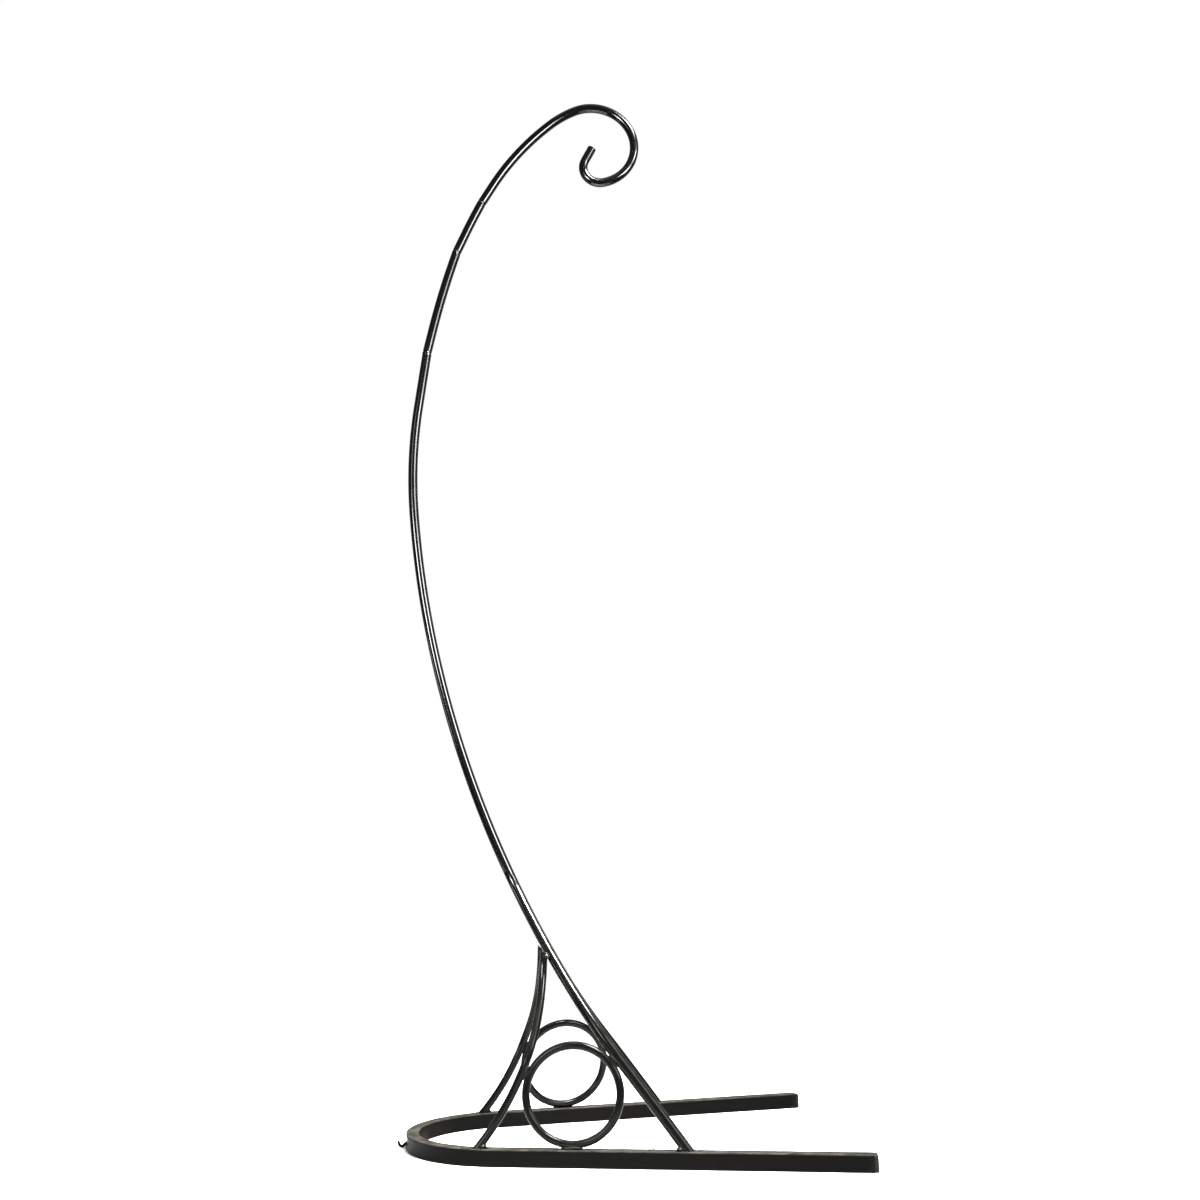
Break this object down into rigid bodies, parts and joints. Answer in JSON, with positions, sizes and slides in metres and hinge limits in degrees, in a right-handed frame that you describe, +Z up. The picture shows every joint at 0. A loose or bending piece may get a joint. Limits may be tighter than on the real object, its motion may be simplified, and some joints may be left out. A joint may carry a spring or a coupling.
{
  "type": "hanging plant stand",
  "caption": "Free-standing hanging plant stand: U-shaped tube base, ring-braced struts and a bowed mast that ends in a scroll hook over the open base.",
  "frame": {"origin": "on the floor, under the middle of the stand's bounding box", "axes": "+Z up, +X from the base's bend towards the open ends of its legs, the way the hook reaches; the stand is the same on both sides of Y = 0"},
  "size_m": [0.5766, 0.4768, 1.5189],
  "materials": {
    "black_paint": "satin black paint over welded steel tube and rod",
    "black_plastic": "moulded black plastic plug"
  },
  "bodies": {
    "stand": {"base_tube": "black_paint", "end_cap_front": "black_plastic", "end_cap_back": "black_plastic", "bend_tab": "black_paint", "ring_front": "black_paint", "ring_back": "black_paint", "left_strut_front": "black_paint", "left_strut_back": "black_paint", "right_strut_front": "black_paint", "right_strut_back": "black_paint", "weld_ring_foot_front": "black_paint", "weld_ring_foot_back": "black_paint", "weld_left_foot_front": "black_paint", "weld_left_foot_back": "black_paint", "weld_right_foot_front": "black_paint", "weld_right_foot_back": "black_paint", "weld_left_ring_front": "black_paint", "weld_left_ring_back": "black_paint", "weld_right_ring_front": "black_paint", "weld_right_ring_back": "black_paint", "weld_left_top_front": "black_paint", "weld_left_top_back": "black_paint", "weld_right_top": "black_paint", "mast_lower": "black_paint"},
    "middle_piece": {"mast_middle": "black_paint"},
    "upper_piece": {"mast_upper": "black_paint"},
    "hook_piece": {"hook_section": "black_paint"}
  },
  "joints": [
    {"name": "middle_lift_off", "type": "slide", "parent": "stand", "child": "middle_piece", "axis": [0.2152, 0, 0.9766], "range_m": [0, 0.03]},
    {"name": "upper_lift_off", "type": "slide", "parent": "middle_piece", "child": "upper_piece", "axis": [0.3978, 0, 0.9175], "range_m": [0, 0.03]},
    {"name": "hook_lift_off", "type": "slide", "parent": "upper_piece", "child": "hook_piece", "axis": [0.5034, 0, 0.8641], "range_m": [0, 0.03]}
  ]
}
